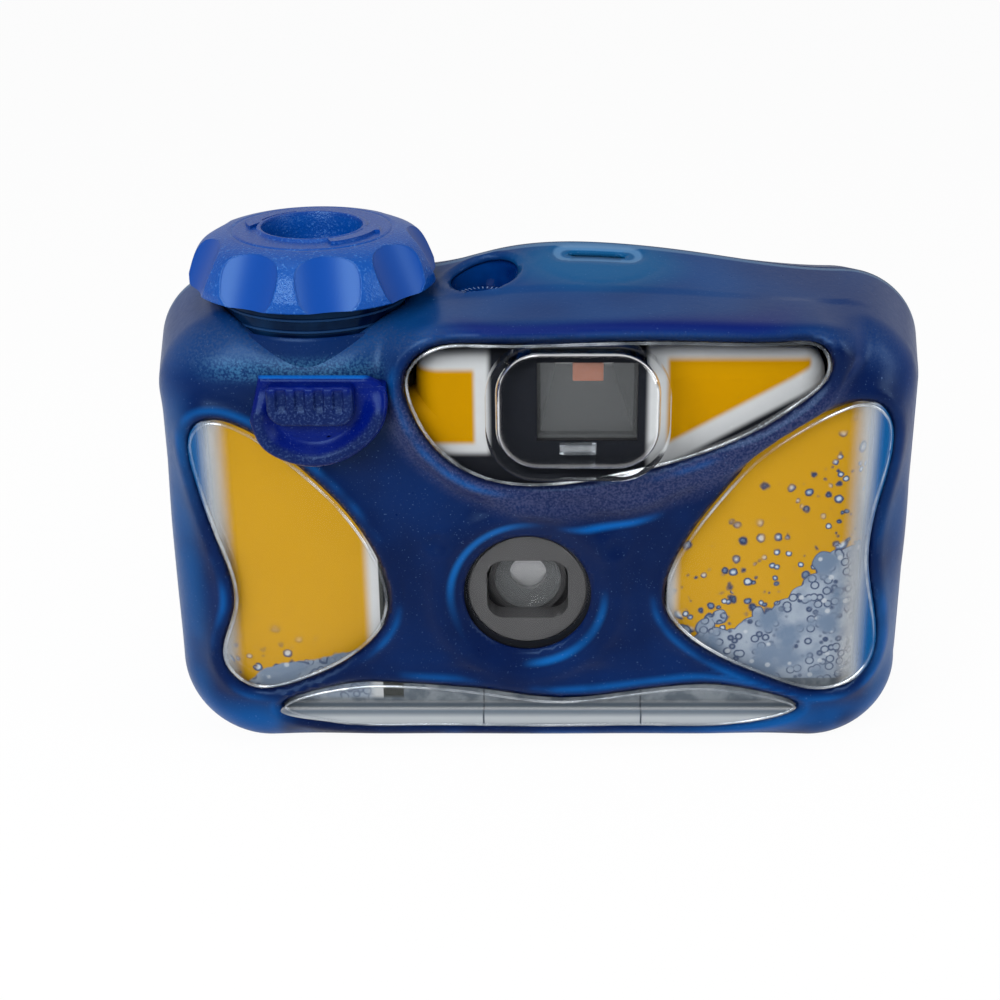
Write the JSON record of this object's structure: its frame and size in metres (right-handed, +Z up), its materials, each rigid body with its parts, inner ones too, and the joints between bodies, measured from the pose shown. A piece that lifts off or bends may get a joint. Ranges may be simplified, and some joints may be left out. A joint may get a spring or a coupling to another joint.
{
  "type": "waterproof single-use film camera",
  "caption": "Sealed single-use film camera: translucent soft skin over a clear housing, fluted winding knob on top, finger lever at the front.",
  "frame": {"origin": "middle of the flat base", "axes": "+X to the viewer's right seen from the front, the lens looks along -Y, +Z up"},
  "size_m": [0.1328, 0.048, 0.0914],
  "materials": {
    "blue_skin": "translucent frosted",
    "clear_shell": "clear moulded",
    "knob_blue": "satin moulded",
    "seal_rubber": "soft",
    "black_plastic": "fine grained",
    "grey_plastic": "satin",
    "white_plastic": "satin",
    "label_print": "coated",
    "lens_plastic": "polished",
    "steel": "drawn",
    "can_metal": "lacquered",
    "cap_metal": "lacquered",
    "film_base": "glossy"
  },
  "bodies": {
    "housing": {"front_shell": "clear_shell", "front_skin": "blue_skin", "rear_shell": "clear_shell", "rear_skin": "blue_skin", "housing_gasket": "seal_rubber", "knob_seal": "seal_rubber", "lever_pin": "steel", "lever_boot": "seal_rubber", "camera_front_cover": "black_plastic", "camera_rear_cover": "black_plastic", "front_label": "label_print", "rear_label": "label_print", "camera_chassis": "black_plastic", "viewfinder_front_lens": "lens_plastic", "viewfinder_rear_lens": "lens_plastic", "lens_hood": "grey_plastic", "taking_lens": "lens_plastic", "shutter_plate": "black_plastic", "cartridge_can": "can_metal", "cartridge_caps": "cap_metal", "film_strip": "film_base"},
    "winder": {"advance_knob": "knob_blue", "knob_shaft": "black_plastic", "knob_clip": "steel", "thumbwheel": "black_plastic", "cartridge_spool": "black_plastic"},
    "lever": {"shutter_lever": "blue_skin"},
    "button": {"release_button": "grey_plastic"},
    "sprocket": {"film_sprocket": "grey_plastic"},
    "roll": {"supply_roll": "film_base"},
    "counter": {"counter_wheel": "white_plastic"},
    "blade": {"shutter_blade": "steel"},
    "cocking": {"cocking_lever": "steel"},
    "metering": {"metering_lever": "grey_plastic"}
  },
  "joints": [
    {"name": "winder_turn", "type": "hinge", "parent": "housing", "child": "winder", "pos_m": [-0.0375, -0.0035, 0.09], "axis": [0, 0, 1], "continuous": true},
    {"name": "sprocket_turn", "type": "hinge", "parent": "housing", "child": "sprocket", "pos_m": [-0.016, 0.00275, 0.048], "axis": [0, 0, 1], "continuous": true},
    {"name": "roll_turn", "type": "hinge", "parent": "housing", "child": "roll", "pos_m": [0.0355, -0.0025, 0.031], "axis": [0, 0, 1], "continuous": true},
    {"name": "counter_turn", "type": "hinge", "parent": "housing", "child": "counter", "pos_m": [-0.0093, -0.001, 0.06], "axis": [0, 0, 1], "continuous": true},
    {"name": "lever_squeeze", "type": "hinge", "parent": "housing", "child": "lever", "pos_m": [-0.0366, -0.0214, 0.0604], "axis": [-1, 0, 0], "range_deg": [0, 8], "stiffness_Nm_per_rad": 0.12, "springref_deg": -4.58},
    {"name": "button_press", "type": "slide", "parent": "housing", "child": "button", "axis": [0, 0, -1], "range_m": [0, 0.0018]},
    {"name": "blade_swing", "type": "hinge", "parent": "housing", "child": "blade", "pos_m": [-0.008, -0.0099, 0.036], "axis": [0, 1, 0], "range_deg": [0, 38], "stiffness_Nm_per_rad": 0.0008, "springref_deg": -11.46},
    {"name": "cocking_swing", "type": "hinge", "parent": "housing", "child": "cocking", "pos_m": [-0.0175, -0.0065, 0.052], "axis": [0, 0, 1], "range_deg": [-18, 0], "stiffness_Nm_per_rad": 0.002, "springref_deg": 11.46},
    {"name": "metering_swing", "type": "hinge", "parent": "housing", "child": "metering", "pos_m": [-0.0205, -0.0015, 0.052], "axis": [0, 0, 1], "range_deg": [0, 10], "stiffness_Nm_per_rad": 0.002, "springref_deg": -11.46}
  ],
  "couplings": [
    {"joint": "sprocket_turn", "follows": "winder_turn", "ratio": 1.32},
    {"joint": "roll_turn", "follows": "winder_turn", "ratio": 0.73},
    {"joint": "counter_turn", "follows": "winder_turn", "ratio": -0.055},
    {"joint": "button_press", "follows": "lever_squeeze", "m_per_rad": 0.0128}
  ]
}
